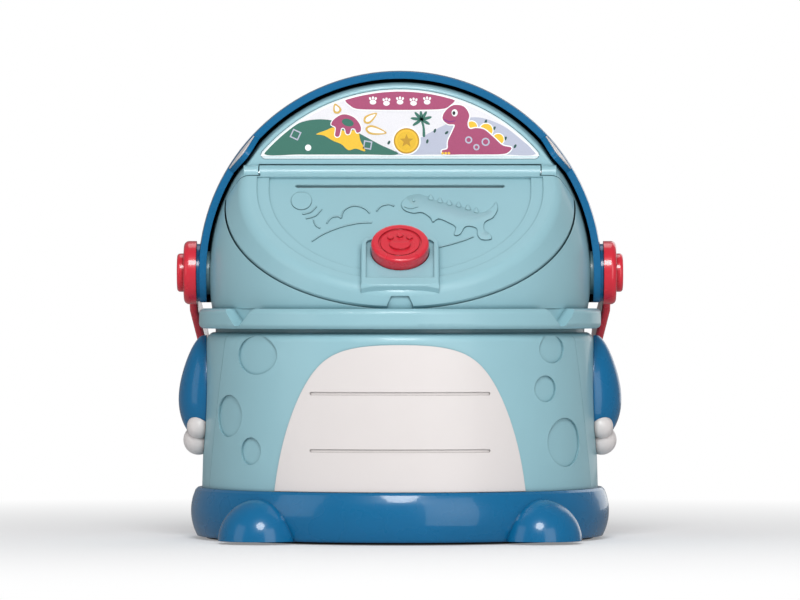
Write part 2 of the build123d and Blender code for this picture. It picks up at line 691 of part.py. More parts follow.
def escutcheon(shrink, bottom_shrink):
    """Outline of the raised pad round the button."""
    height = PAD_TOP_V - PAD_BOTTOM_V - shrink - bottom_shrink
    with Locations((0, PAD_BOTTOM_V + bottom_shrink + height / 2)):
        Rectangle(PAD_WIDTH - 2 * shrink, height)
        fillet(vertices().group_by(Axis.Y)[-1], 4.5 - shrink)


with BuildPart() as finger_notch:
    with BuildSketch(Plane.XZ):
        with BuildLine():
            Polyline((-NOTCH_LOW, NOTCH_Z - 4), (-NOTCH_LOW, NOTCH_Z), (-NOTCH_HIGH, NOTCH_Z + 3.6),
                     (NOTCH_HIGH, NOTCH_Z + 3.6), (NOTCH_LOW, NOTCH_Z), (NOTCH_LOW, NOTCH_Z - 4), close=True)
        make_face()
        fillet(vertices().group_by(Axis.Y)[-1], 0.8)
    extrude(amount=100)
    with Locations(HUB):
        Sphere(HEAD_R - 1, mode=Mode.SUBTRACT)

with BuildPart() as door_panel:
    add(head_wall.part)
    with BuildSketch(FACE.offset(-40)):
        door_outline(0)
    extrude(amount=50, mode=Mode.INTERSECT)
    # the bead ends short of the fixed knuckles, and the corners beside it clear them
    bead_cylinder(BEAD_R, -KNUCKLE_HALF + 0.1, KNUCKLE_HALF - 0.1)
    for side in SIDES.values():
        bead_cylinder(BEAD_R + HINGE_GAP, side * (KNUCKLE_HALF - 0.1), side * 80, mode=Mode.SUBTRACT)
    # two shallow steps down to the D-shaped field
    for margin, depth in [(D_MARGIN, D_STEP), (0, 2 * D_STEP)]:
        with BuildSketch(FACE.offset(-depth)):
            d_field(margin)
        extrude(amount=6, mode=Mode.SUBTRACT)
    # coin slot
    with BuildSketch(FACE.offset(-10)):
        with Locations((0, SLOT_V)):
            SlotOverall(SLOT_LENGTH, SLOT_WIDTH)
    extrude(amount=20, mode=Mode.SUBTRACT)
    # escutcheon pad with its own sunk middle
    with BuildSketch(FACE.offset(-WALL)):
        escutcheon(0, 0)
    extrude(amount=WALL + PAD_PROUD)
    pad_rim = door_panel.faces().filter_by(GeomType.PLANE).sort_by(Axis(HUB, FACE_NORMAL))[-1].edges()
    fillet(pad_rim, 0.8)
    with BuildSketch(FACE.offset(PAD_PROUD - 1)):
        escutcheon(2, 5)
    extrude(amount=3, mode=Mode.SUBTRACT)
    with BuildSketch(FACE.offset(-10)):
        with Locations((0, BUTTON_V)):
            Circle(BUTTON_R + 0.25)
    extrude(amount=20, mode=Mode.SUBTRACT)
    add(finger_notch.part, mode=Mode.SUBTRACT)
    # nothing stands out far enough to touch the closed visor
    with Locations(HUB):
        Sphere(VISOR_INNER_R - 0.4, mode=Mode.INTERSECT)
    bead_cylinder(PIN_BORE_R, -BEAD_HALF, BEAD_HALF, mode=Mode.SUBTRACT)
save("door_panel", door_panel)

with BuildPart() as coin_guide:
    with BuildSketch(FACE.offset(-WALL)):
        with Locations((0, SLOT_V)):
            Rectangle(SLOT_LENGTH + 5, 6.4)
            Rectangle(SLOT_LENGTH + 2, 3.6, mode=Mode.SUBTRACT)
    extrude(amount=-12)
save("coin_guide", coin_guide)

with BuildPart() as button_housing:
    with BuildSketch(FACE.offset(-WALL)):
        with Locations((0, BUTTON_V)):
            Circle(BUTTON_FLANGE_R + 2.2)
    extrude(amount=CUP_BOTTOM + WALL)
    with BuildSketch(FACE.offset(-WALL)):
        with Locations((0, BUTTON_V)):
            Circle(BUTTON_FLANGE_R + 0.4)
    extrude(amount=CUP_BOTTOM + WALL + CUP_FLOOR, mode=Mode.SUBTRACT)
save("button_housing", button_housing)

with BuildPart() as button:
    with BuildSketch(FACE.offset(BUTTON_FLANGE_BOTTOM)):
        with Locations((0, BUTTON_V)):
            Circle(BUTTON_R)
    extrude(amount=BUTTON_PROUD - BUTTON_FLANGE_BOTTOM)
    fillet(button.faces().sort_by(Axis(HUB, FACE_NORMAL))[-1].edges(), 1.1)
    with BuildSketch(FACE.offset(BUTTON_FLANGE_BOTTOM)):
        with Locations((0, BUTTON_V)):
            Circle(BUTTON_FLANGE_R)
    extrude(amount=BUTTON_FLANGE_TOP - BUTTON_FLANGE_BOTTOM)
    with BuildSketch(FACE.offset(BUTTON_FLANGE_BOTTOM)):
        with Locations((0, BUTTON_V)):
            Circle(BUTTON_R - 1.9)
    extrude(amount=BUTTON_ROOF - BUTTON_FLANGE_BOTTOM, mode=Mode.SUBTRACT)
    # groove round the middle, then a raised paw: one pad and three toes
    with BuildSketch(FACE.offset(BUTTON_PROUD - 0.6)):
        with Locations((0, BUTTON_V)):
            Circle(8.8)
    extrude(amount=2, mode=Mode.SUBTRACT)
    with BuildSketch(FACE.offset(BUTTON_PROUD - 0.6)):
        with Locations((0, BUTTON_V)):
            Circle(7.9)
    extrude(amount=0.3)
    with BuildSketch(FACE.offset(BUTTON_PROUD - 0.6)):
        with Locations((0, BUTTON_V - 1.6)):
            Ellipse(4.2, 3.2)
        with Locations((0, BUTTON_V + 4.2)):
            Circle(1.25)
        with Locations((-3.9, BUTTON_V + 3.0), (3.9, BUTTON_V + 3.0)):
            Circle(1.25)
    extrude(amount=1.1)
    with BuildSketch(FACE.offset(BUTTON_PROUD - 0.3)):
        with Locations((0, BUTTON_V + 0.6)):
            Ellipse(3.0, 1.3)
    extrude(amount=2, mode=Mode.SUBTRACT)
save("button", button)

SPRING_WIRE_R = 0.4
SPRING_R = 7.0
SPRING_BOTTOM = CUP_BOTTOM + CUP_FLOOR + SPRING_WIRE_R + 0.05
SPRING_HEIGHT = BUTTON_ROOF - SPRING_WIRE_R - 0.05 - SPRING_BOTTOM
SPRING_TURNS = 5

with BuildPart() as button_spring:
    with BuildLine() as spring_path:
        coil = Helix(pitch=SPRING_HEIGHT / SPRING_TURNS, height=SPRING_HEIGHT, radius=SPRING_R)
    with BuildSketch(Plane(origin=coil @ 0, z_dir=coil % 0)):
        Circle(SPRING_WIRE_R)
    sweep()
spring_floor = FACE.offset(SPRING_BOTTOM)
spring_seat = spring_floor.shift_origin(spring_floor.from_local_coords((0, BUTTON_V, 0)))
button_spring.part = spring_seat.location * button_spring.part
save("button_spring", button_spring)

BOLT_AXIS = FACE.offset(-BOLT_DEPTH)
BOLT_HALF = 5.0
BOLT_THICK = 4.6
PLUNGER_R = 2.0
SOLENOID_V = (-56.0, -36.0)


def slope_block(half_width, low_v, high_v, low, high, mode=Mode.ADD):
    """Block aligned with the sloped face, its height counted from the lock bolt's axis."""
    corner = BOLT_AXIS.from_local_coords((0, (low_v + high_v) / 2, low))
    with Locations(Plane(origin=corner, x_dir=(1, 0, 0), z_dir=FACE_NORMAL)):
        Box(2 * half_width, high_v - low_v, high - low, align=STANDING, mode=mode)


def slope_rod(radius, low_v, high_v, mode=Mode.ADD):
    """Round rod along the lock bolt's axis."""
    start = BOLT_AXIS.from_local_coords((0, low_v, 0))
    with Locations(Plane(origin=start, x_dir=(1, 0, 0), z_dir=BOLT_AXIS.y_dir)):
        Cylinder(radius, high_v - low_v, align=STANDING, mode=mode)


with BuildPart() as lock_solenoid:
    slope_block(8, *SOLENOID_V, -4.5, CUP_BOTTOM + BOLT_DEPTH)
    slope_rod(PLUNGER_R + 0.08, SOLENOID_V[0] - 1, SOLENOID_V[1] - 6, mode=Mode.SUBTRACT)
save("lock_solenoid", lock_solenoid)

with BuildPart() as lock_bolt:
    slope_block(BOLT_HALF, BOLT_TIP_V, BOLT_TIP_V + 4, -BOLT_THICK / 2, BOLT_THICK / 2)
    slope_rod(PLUNGER_R, BOLT_TIP_V + 4, SOLENOID_V[0] + 10)
    chamfer(lock_bolt.faces().sort_by(Axis(HUB, BOLT_AXIS.y_dir))[0].edges(), 0.5)
save("lock_bolt", lock_bolt)

with BuildPart() as door_keeper:
    slope_block(9, -74, -68.4, -4.6, 4.2)
    slope_block(BOLT_HALF + 0.6, -71.4, -67, -BOLT_THICK / 2 - 0.5, BOLT_THICK / 2 + 0.5, mode=Mode.SUBTRACT)
    with BuildSketch(Plane.XY.offset(60)):
        Circle(RING_BORE_R)
    extrude(amount=60, mode=Mode.INTERSECT)
save("door_keeper", door_keeper)

# ---- visor, drawn shut and then raised ----------------------------------------------------------
def visor_side(inset):
    """Side view of the closed visor: two straight rims joined by an arc round the hub."""
    with Locations((VISOR_RIM - inset - 60, HUB_HEIGHT + inset - VISOR_RIM + 60)):
        Rectangle(120, 120)
    fillet(vertices().group_by(Axis.Y)[0].sort_by(Axis.X)[-1], VISOR_RIM - inset)


def visor_direction(azimuth, elevation):
    """Unit direction from the hub's middle, closed position."""
    level = cos(radians(elevation))
    return Vector(sin(radians(azimuth)) * level, -cos(radians(azimuth)) * level, sin(radians(elevation)))


def dome_plane(azimuth, elevation, distance):
    """Plane facing away from the hub's middle, its local Y pointing up the dome."""
    outward = visor_direction(azimuth, elevation)
    return Plane(origin=HUB + outward * distance, x_dir=outward.cross(Vector(0, 0, 1)) * -1, z_dir=outward)


def save_raised(name, builder):
    """Turn a piece of the visor from its closed place to the raised rest place, and write it."""
    builder.part = builder.part.rotate(HUB_AXIS, VISOR_RAISE)
    save(name, builder)


def eye_disc(side, radius, inner, outer, rise):
    """Round disc of the dome between two radii, centred on one eye and lifted up the dome."""
    with BuildPart() as disc:
        with BuildSketch(dome_plane(side * EYE_AZIMUTH, EYE_ELEVATION, 60)):
            with Locations((0, rise)):
                Circle(radius)
        extrude(amount=40)
        with Locations(HUB):
            Sphere(outer, mode=Mode.INTERSECT)
            Sphere(inner, mode=Mode.SUBTRACT)
    return disc.part


def tooth_form(side, grow, root, inner, outer):
    """Pointed tooth below the visor's rim, grown all round, between two radii of the dome."""
    half = TOOTH_WIDTH / 2 + grow
    drop = TOOTH_DROP + grow
    with BuildPart() as form:
        with BuildSketch(radial_plane(side * TOOTH_AZIMUTH, 60, HUB_HEIGHT - VISOR_RIM)):
            with BuildLine():
                Spline((half, 0), (0.54 * half, -0.62 * drop), (0, -drop),
                       (-0.54 * half, -0.62 * drop), (-half, 0))
                Polyline((-half, 0), (-half, root), (half, root), (half, 0))
            make_face()
        extrude(amount=40)
        with Locations(HUB):
            Sphere(outer, mode=Mode.INTERSECT)
            Sphere(inner, mode=Mode.SUBTRACT)
    return form.part


with BuildPart() as visor_lip:
    with Locations(HUB):
        Sphere(VISOR_LIP_R)
        Sphere(VISOR_INNER_R, mode=Mode.SUBTRACT)
    with BuildSketch(Plane.YZ):
        visor_side(0)
    extrude(amount=100, both=True, mode=Mode.INTERSECT)
    with BuildSketch(Plane.YZ):
        visor_side(VISOR_LIP_WIDTH)
    extrude(amount=100, both=True, mode=Mode.SUBTRACT)

with BuildPart() as visor_shell:
    with Locations(HUB):
        Sphere(VISOR_R)
    for side in SIDES.values():
        sideways_cylinder(side, VISOR_BOSS_R, 70, VISOR_BOSS_FACE)
    with Locations(HUB):
        Sphere(VISOR_INNER_R, mode=Mode.SUBTRACT)
    with BuildSketch(Plane.YZ):
        visor_side(0)
    extrude(amount=100, both=True, mode=Mode.INTERSECT)
    add(visor_lip.part)
    for side in SIDES.values():
        add(tooth_form(side, TOOTH_BACKING, 1.5, VISOR_INNER_R, TOOTH_SEAT_R))
    for side in SIDES.values():
        sideways_cylinder(side, SHAFT_BORE_R, 60, 100, mode=Mode.SUBTRACT)
    # shallow seats for the eyes
    for side in SIDES.values():
        add(eye_disc(side, EYE_R + 0.4, EYE_SEAT_R, 90, 0), mode=Mode.SUBTRACT)
save_raised("visor_shell", visor_shell)

for side_name, side in SIDES.items():
    with BuildPart() as eye:
        add(eye_disc(side, EYE_R, EYE_SEAT_R, EYE_FACE_R, 0))
    save_raised(f"{side_name}_eye", eye)

    with BuildPart() as pupil:
        add(eye_disc(side, PUPIL_R, EYE_FACE_R, PUPIL_FACE_R, PUPIL_RISE))
        # the bite that leaves a light glint on the outer side
        with BuildSketch(dome_plane(side * EYE_AZIMUTH, EYE_ELEVATION, 60)):
            with Locations((side * GLINT_OUT, GLINT_UP)):
                Circle(GLINT_R)
        extrude(amount=40, mode=Mode.SUBTRACT)
    save_raised(f"{side_name}_pupil", pupil)

    with BuildPart() as tooth:
        add(tooth_form(side, 0, 0.01, TOOTH_SEAT_R, TOOTH_FACE_R))
        # square with the rim, so that it meets the lip and doesn't enter it
        with BuildSketch(Plane.YZ):
            visor_side(0)
        extrude(amount=100, both=True, mode=Mode.SUBTRACT)
    save_raised(f"{side_name}_tooth", tooth)

for crest_name, (elevation, distance, radius) in CREST.items():
    with BuildPart() as bump:
        with Locations(HUB + visor_direction(0, elevation) * distance):
            Sphere(radius)
            Sphere(radius - CREST_WALL, mode=Mode.SUBTRACT)
        with Locations(HUB):
            Sphere(VISOR_R, mode=Mode.SUBTRACT)
        if crest_name == "crest_rear":
            middle_elevation, middle_distance, middle_radius = CREST["crest_middle"]
            with Locations(HUB + visor_direction(0, middle_elevation) * middle_distance):
                Sphere(middle_radius + 0.1, mode=Mode.SUBTRACT)
    save_raised(crest_name, bump)

# ---- carrying handle and pivots -----------------------------------------------------------------
HANDLE_OUT = Vector(0, sin(radians(HANDLE_HANG)), -cos(radians(HANDLE_HANG)))
HANDLE_PLANE = Plane(origin=HUB, x_dir=(1, 0, 0), z_dir=Vector(1, 0, 0).cross(HANDLE_OUT))
ARM_OUTER_X = 87.9
ARM_WAIST_X = 84.8
ARM_STRAIGHT = 18.0           # the arms run straight down to here, then lean in

with BuildPart() as handle:
    with BuildSketch(HANDLE_PLANE):
        with Locations((0, HANDLE_BEND)):
            Ellipse(ARM_WAIST_X, HANDLE_REACH - HANDLE_BEND)
            Ellipse(ARM_WAIST_X - HANDLE_ARM, HANDLE_REACH - HANDLE_GRIP - HANDLE_BEND, mode=Mode.SUBTRACT)
        with Locations((0, HANDLE_BEND - 60)):
            Rectangle(200, 120, mode=Mode.SUBTRACT)
        for side in SIDES.values():
            with BuildLine():
                Polyline((side * ARM_WAIST_X, HANDLE_BEND), (side * ARM_OUTER_X, ARM_STRAIGHT),
                         (side * ARM_OUTER_X, SHAFT_R + 3), (side * (HANDLE_EYE_INNER + 0.05), SHAFT_R + 3),
                         (side * (ARM_OUTER_X - HANDLE_ARM + 0.2), ARM_STRAIGHT),
                         (side * (ARM_WAIST_X - HANDLE_ARM), HANDLE_BEND), close=True)
            make_face()
    extrude(amount=HANDLE_WIDTH / 2, both=True)
    broad_sides = handle.faces().filter_by(Axis((0, 0, 0), HANDLE_PLANE.z_dir))
    fillet(broad_sides.edges(), 1.4)
    for side in SIDES.values():
        sideways_cylinder(side, HANDLE_EYE_R, HANDLE_EYE_INNER, HANDLE_EYE_OUTER)
    outer_rims = handle.edges().filter_by(GeomType.CIRCLE).filter_by(
        lambda edge: abs(edge.radius - HANDLE_EYE_R) < 0.01 and abs(edge.center().X) > HANDLE_EYE_OUTER - 1)
    fillet(outer_rims, 2.2)
    for side in SIDES.values():
        sideways_cylinder(side, SHAFT_BORE_R, 60, 100, mode=Mode.SUBTRACT)
save("handle", handle)

for side_name, side in SIDES.items():
    with BuildPart() as pivot_cap:
        sideways_cylinder(side, SHAFT_R, 70, HANDLE_EYE_OUTER + 0.1)
        sideways_cylinder(side, CAP_R, HANDLE_EYE_OUTER + 0.1, CAP_OUTER)
        fillet(pivot_cap.faces().sort_by(Axis.X)[-1 if side > 0 else 0].edges(), 1.3)
        sideways_cylinder(side, SCREW_R, 60, 84, mode=Mode.SUBTRACT)
    save(f"{side_name}_pivot_cap", pivot_cap)

with BuildPart() as pivot_screws:
    for side in SIDES.values():
        sideways_cylinder(side, SCREW_R, 70, 83)
        sideways_cylinder(side, SCREW_HEAD_R, 70 - SCREW_HEAD, 70)
save("pivot_screws", pivot_screws)
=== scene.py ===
"""Looks of the toy money bank: moulded plastics, printed label, door relief, stage, lights and camera."""

import json
import math

import bmesh
import bpy
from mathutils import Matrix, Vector


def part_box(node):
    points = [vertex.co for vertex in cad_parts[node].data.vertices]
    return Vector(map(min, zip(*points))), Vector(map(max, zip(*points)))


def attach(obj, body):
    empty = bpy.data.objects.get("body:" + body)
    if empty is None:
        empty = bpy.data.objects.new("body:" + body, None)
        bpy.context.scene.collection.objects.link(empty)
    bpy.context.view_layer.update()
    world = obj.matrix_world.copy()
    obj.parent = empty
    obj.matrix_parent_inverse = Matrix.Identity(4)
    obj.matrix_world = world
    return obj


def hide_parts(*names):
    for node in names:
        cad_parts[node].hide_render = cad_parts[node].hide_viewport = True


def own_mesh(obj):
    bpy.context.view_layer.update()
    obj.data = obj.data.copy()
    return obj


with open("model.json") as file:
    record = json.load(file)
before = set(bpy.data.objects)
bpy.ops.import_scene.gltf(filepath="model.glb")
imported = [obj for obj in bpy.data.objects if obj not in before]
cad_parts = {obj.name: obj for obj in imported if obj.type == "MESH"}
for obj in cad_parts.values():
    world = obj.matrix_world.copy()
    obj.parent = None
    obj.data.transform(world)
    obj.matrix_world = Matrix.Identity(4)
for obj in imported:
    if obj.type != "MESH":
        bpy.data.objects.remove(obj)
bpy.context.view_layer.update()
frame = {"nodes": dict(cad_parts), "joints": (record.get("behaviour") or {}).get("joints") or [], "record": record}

MM = 0.001
JOINTS = {joint["name"]: joint for joint in frame["joints"]}


# ---- materials ----------------------------------------------------------------------------------
BUMP_DEPTH = 0.2 * MM
PAINTED_SHADE_REACH = 3.0 * MM               # how near another surface must be for the painted shade to darken a crease
EDGE_ROUNDING = 0.4 * MM
FLOW_SCALE = 22.0                     # scales of the noise, per metre
SHEEN_SCALE = 60.0
SKIN_SCALE = 900.0
SCREEN_SCALE = 2600.0


def srgb(red, green, blue):
    """Linear colour of an 8-bit sRGB triple."""
    def linear(level):
        level /= 255
        return level / 12.92 if level <= 0.04045 else ((level + 0.055) / 1.055) ** 2.4
    return linear(red), linear(green), linear(blue), 1.0


class Nodes:
    """Short helper that adds and links shader nodes of one material."""

    def __init__(self, name):
        self.material = bpy.data.materials.new(name)
        self.material.use_nodes = True
        self.tree = self.material.node_tree
        self.shader = self.tree.nodes["Principled BSDF"]
        coordinates = self.tree.nodes.new("ShaderNodeTexCoord")
        self.place = coordinates.outputs["Object"]

    def add(self, kind, inputs=(), **settings):
        node = self.tree.nodes.new(kind)
        for key, value in settings.items():
            setattr(node, key, value)
        for key, value in dict(inputs).items():
            self.connect(value, node.inputs[key])
        return node

    def connect(self, value, socket):
        if isinstance(value, bpy.types.NodeSocket):
            self.tree.links.new(value, socket)
        else:
            socket.default_value = value

    def noise(self, scale, detail=3.0):
        inputs = {"Vector": self.place, "Scale": scale, "Detail": detail}
        return self.add("ShaderNodeTexNoise", inputs).outputs["Fac"]

    def span(self, value, low, high, start=0.3, end=0.7):
        """Remaps a value to a range."""
        node = self.add("ShaderNodeMapRange", {"Value": value, "From Min": start, "From Max": end,
                                               "To Min": low, "To Max": high})
        return node.outputs["Result"]

    def mix(self, factor, first, second):
        node = self.add("ShaderNodeMix", {0: factor, 6: first, 7: second}, data_type="RGBA")
        return node.outputs[2]

    def bump(self, height, strength):
        inputs = {"Height": height, "Strength": strength, "Distance": BUMP_DEPTH}
        return self.add("ShaderNodeBump", inputs).outputs["Normal"]

    def set(self, **inputs):
        for key, value in inputs.items():
            self.connect(value, self.shader.inputs[key.replace("_", " ")])


def shade(colour, factor):
    """The same colour, lighter or darker."""
    return tuple(min(1.0, channel * factor) for channel in colour[:3]) + (1.0,)


def painted_crease_shade(colour):
    """Deeper and more saturated version of a colour, painted as shade into the creases and gaps between mouldings.
    """
    return tuple(0.5 * channel ** 2.0 for channel in colour[:3]) + (1.0,)


def moulded(name, colour, roughness, coat=0.0, grain=0.05, depth=0.06, specular=0.5):
    """Injection-moulded plastic: flow marks, a fine skin, softly rounded mould edges, and painted shade that
    darkens creases and gaps.
    """
    nodes = Nodes(name)
    tone = nodes.span(nodes.noise(FLOW_SCALE, 2.0), 0.0, 1.0)
    base = nodes.mix(tone, shade(colour, 1 - depth / 2), shade(colour, 1 + depth / 2))
    # painted shade: ambient occlusion darkens the colour in creases and gaps where other surfaces lie near
    crease_occlusion = nodes.add("ShaderNodeAmbientOcclusion", {"Distance": PAINTED_SHADE_REACH}, samples=6).outputs["AO"]
    base = nodes.mix(nodes.span(crease_occlusion, 0.0, 1.0, 0.15, 0.8), painted_crease_shade(colour), base)
    skin = nodes.bump(nodes.noise(SKIN_SCALE, 2.0), grain)
    edge = nodes.add("ShaderNodeBevel", {"Radius": EDGE_ROUNDING, "Normal": skin}, samples=4).outputs["Normal"]
    sheen = nodes.span(nodes.noise(SHEEN_SCALE), roughness * 0.85, roughness * 1.15)
    nodes.set(Base_Color=base, Roughness=sheen, Normal=edge, Coat_Weight=coat, Coat_Roughness=0.06, IOR=1.5,
              Specular_IOR_Level=specular)
    return nodes.material


def metal(name, colour, roughness):
    """Plated steel with fine turning marks."""
    nodes = Nodes(name)
    marks = nodes.add("ShaderNodeTexWave", {"Vector": nodes.place, "Scale": 400.0, "Distortion": 2.0,
                                            "Detail": 2.0}, wave_type="RINGS").outputs["Fac"]
    nodes.set(Base_Color=nodes.mix(nodes.noise(120.0), shade(colour, 0.85), colour), Metallic=1.0,
              Roughness=nodes.span(marks, roughness * 0.8, roughness * 1.2, 0.0, 1.0),
              Normal=nodes.bump(marks, 0.05))
    return nodes.material


def paint(name, colour, roughness=0.45):
    """Ink printed on the label film: slightly uneven, with a fine screen grain."""
    nodes = Nodes(name)
    grain = nodes.noise(SCREEN_SCALE, 1.0)
    nodes.set(Base_Color=nodes.mix(nodes.span(grain, 0.0, 1.0), shade(colour, 0.95), shade(colour, 1.05)),
              Roughness=roughness, Coat_Weight=0.35, Coat_Roughness=0.2, Normal=nodes.bump(grain, 0.03))
    return nodes.material


DEEP_BLUE = srgb(6, 102, 150)
PALE_BLUE = srgb(147, 190, 200)
CREAM = srgb(221, 215, 213)
RED = srgb(214, 34, 54)

SLOT_MATERIALS = {
    "blue_gloss": moulded("deep_blue_plastic", DEEP_BLUE, 0.28, coat=0.45, grain=0.02, specular=0.3),
    "light_blue": moulded("pale_blue_plastic", PALE_BLUE, 0.42, coat=0.2, grain=0.06, depth=0.03),
    "cream_white": moulded("cream_plastic", CREAM, 0.4, coat=0.1, grain=0.05, depth=0.02),
    "red_gloss": moulded("red_plastic", RED, 0.28, coat=0.6, grain=0.02, depth=0.05),
    "black_print": moulded("black_plastic", srgb(5, 5, 6), 0.25, coat=0.1, depth=0.1, specular=0.1),
    "printed_label": paint("label_film", srgb(214, 230, 234)),
    "white_inner": moulded("inner_plastic", srgb(222, 224, 226), 0.5, grain=0.12),
    "black_rubber": moulded("black_rubber", srgb(22, 22, 23), 0.75, grain=0.3),
    "steel": metal("plated_steel", srgb(190, 190, 192), 0.3),
    "cell_jacket": moulded("cell_jacket", srgb(60, 110, 80), 0.3, coat=0.3),
    "circuit_green": moulded("circuit_board_green", srgb(24, 92, 52), 0.35, coat=0.3),
    "speaker_black": moulded("speaker_black", srgb(28, 28, 30), 0.6, grain=0.2),
}

record = frame["record"]
for subpart in record["subparts"]:
    node = frame["nodes"][subpart["node"]]
    node.data.materials.clear()
    node.data.materials.append(SLOT_MATERIALS[subpart["material_slot"]])
    node.data.shade_smooth()

# ---- the two faces that carry pictures, each as seen from the front --------------------------------
HUB = Vector(JOINTS["visor_swing"]["pos_m"])
SLOPE_OUT = -Vector(JOINTS["button_press"]["axis"]).normalized()
SLOPE_UP = -Vector(JOINTS["lock_slide"]["axis"]).normalized()
FIELD_OUT = 44.3 * MM                 # the door's D-shaped field, from the hub
LABEL_LOW_CORNER, LABEL_HIGH_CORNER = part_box("face_label")
LABEL_LOW = (LABEL_LOW_CORNER.z - HUB.z) / MM
LABEL_RADIUS = (LABEL_HIGH_CORNER.z - HUB.z) / MM


def on_slope(across, height, out):
    """Point over the door's field. Across and height above the hub are in millimetres, out in metres."""
    distance = FIELD_OUT + out
    up = (height * MM - SLOPE_OUT.z * distance) / SLOPE_UP.z
    return HUB + Vector((across * MM, 0, 0)) + SLOPE_UP * up + SLOPE_OUT * distance


def on_label(across, height, out):
    """Point over the upright label."""
    return Vector((across * MM, LABEL_LOW_CORNER.y - out, HUB.z + height * MM))


# ---- outlines, in millimetres as seen from the front ---------------------------------------------
BAND_STEPS = 6


def curve_point(before, start, end, after, t):
    """Point of a Catmull-Rom curve between start and end."""
    return tuple(0.5 * (2 * b + (c - a) * t + (2 * a - 5 * b + 4 * c - d) * t * t
                        + (3 * b - a - 3 * c + d) * t ** 3)
                 for a, b, c, d in zip(before, start, end, after))


def signed_area(loop):
    """Twice the loop's area, positive where it runs anticlockwise."""
    return sum(a[0] * b[1] - b[0] * a[1] for a, b in zip(loop, loop[1:] + loop[:1]))


def smooth_loop(points, steps=6):
    """Closed Catmull-Rom curve through a few points."""
    loop = []
    count = len(points)
    for index in range(count):
        before, start, end, after = (points[(index + offset) % count] for offset in (-1, 0, 1, 2))
        for step in range(steps):
            loop.append(curve_point(before, start, end, after, step / steps))
    return loop


def ellipse_loop(across, height, half_width, half_height, turn=0.0, count=28):
    """Ellipse, turned by some degrees."""
    cos_turn = math.cos(math.radians(turn))
    sin_turn = math.sin(math.radians(turn))
    loop = []
    for index in range(count):
        angle = 2 * math.pi * index / count
        x = half_width * math.cos(angle)
        y = half_height * math.sin(angle)
        loop.append((across + x * cos_turn - y * sin_turn, height + x * sin_turn + y * cos_turn))
    return loop


def drop_loop(across, height, length, width, turn):
    """Drop with its point turned to some direction, in degrees."""
    shape = [(-0.5, 0), (-0.1, 0.42), (0.3, 0.5), (0.5, 0.0), (0.3, -0.5), (-0.1, -0.42)]
    cos_turn = math.cos(math.radians(turn))
    sin_turn = math.sin(math.radians(turn))
    return smooth_loop([(across - x * length * cos_turn - y * width * sin_turn,
                         height - x * length * sin_turn + y * width * cos_turn) for x, y in shape])


def star_loop(across, height, outer, inner, points=5):
    """Plain star, one point up."""
    loop = []
    for index in range(2 * points):
        radius = inner if index % 2 else outer
        angle = math.radians(90) + math.pi * index / points
        loop.append((across + radius * math.cos(angle), height + radius * math.sin(angle)))
    return loop


def grow_loop(loop, margin):
    """The loop moved outwards by a margin."""
    side = 1 if signed_area(loop) > 0 else -1
    grown = []
    for index, (x, y) in enumerate(loop):
        before = loop[index - 1]
        after = loop[(index + 1) % len(loop)]
        along = Vector((after[0] - before[0], after[1] - before[1]))
        if along.length:
            along.normalize()
        grown.append((x + side * along.y * margin, y - side * along.x * margin))
    return grown


def segment_loop(inset, low_inset, count=48):
    """The label's own shape, inset: the part of a disc above a level line."""
    radius = LABEL_RADIUS - inset
    low = LABEL_LOW + low_inset
    half_angle = math.acos(low / radius)
    return [(radius * math.sin(half_angle - 2 * half_angle * index / count),
             radius * math.cos(half_angle - 2 * half_angle * index / count)) for index in range(count + 1)]


def inside_label(loop, inset):
    """The loop with its points drawn in to the label's round edge."""
    radius = LABEL_RADIUS - inset
    return [(across * min(1.0, radius / math.hypot(across, height)),
             height * min(1.0, radius / math.hypot(across, height))) for across, height in loop]


def plate(name, loop, place, low, high, material, body, soften=0.0):
    """Thin closed plate on one of the two faces, between two distances above it."""
    if signed_area(loop) < 0:
        loop = list(reversed(loop))
    build = bmesh.new()
    bottom = [build.verts.new(place(across, height, low)) for across, height in loop]
    top = [build.verts.new(place(across, height, high)) for across, height in loop]
    cap = build.faces.new(top)
    build.faces.new(list(reversed(bottom)))
    for index in range(len(loop)):
        following = (index + 1) % len(loop)
        build.faces.new((bottom[index], bottom[following], top[following], top[index]))
    build.normal_update()
    if soften:
        bmesh.ops.bevel(build, geom=list(cap.edges), offset=soften, segments=2, affect="EDGES",
                        clamp_overlap=True)
    bmesh.ops.triangulate(build, faces=[face for face in build.faces if len(face.verts) > 4])
    mesh = bpy.data.meshes.new(name)
    build.to_mesh(mesh)
    build.free()
    mesh.shade_smooth()
    mesh.set_sharp_from_angle(angle=math.radians(50))
    mesh.materials.append(material)
    piece = bpy.data.objects.new(name, mesh)
    bpy.context.scene.collection.objects.link(piece)
    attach(piece, body)
    return piece


# ---- printed picture above the door ---------------------------------------------------------------
INK = 0.05 * MM
GREEN = paint("ink_green", srgb(52, 114, 99))
DARK_GREEN = paint("ink_dark_green", srgb(40, 84, 78))
MAGENTA = paint("ink_magenta", srgb(170, 72, 112))
PURPLE = paint("ink_purple", srgb(140, 50, 130))
YELLOW = paint("ink_yellow", srgb(242, 194, 50))
OCHRE = paint("ink_ochre", srgb(216, 176, 84))
GOLD = paint("ink_gold", srgb(232, 186, 40))
DARK_GOLD = paint("ink_dark_gold", srgb(196, 148, 34))
LAVENDER = paint("ink_lavender", srgb(186, 190, 208))
SKY = paint("ink_sky", srgb(232, 230, 234))
WHITE = paint("ink_white", srgb(248, 250, 251))
BLACK = paint("ink_black", srgb(28, 26, 32))


def printed(name, loop, layer, material):
    """One inked shape of the label; higher layers lie on lower ones."""
    plate(f"label_{name}", loop, on_label, -INK, layer * INK, material, "bank")


def outlined(name, loop, layer, material, margin=0.55):
    """Inked shape with a white line round it."""
    printed(f"{name}_line", inside_label(grow_loop(loop, margin), 0.4), layer, WHITE)
    printed(name, loop, layer + 1, material)


printed("edge_line", segment_loop(0.5, 1.2), 1, WHITE)
printed("sky", segment_loop(1.1, 1.9), 2, SKY)

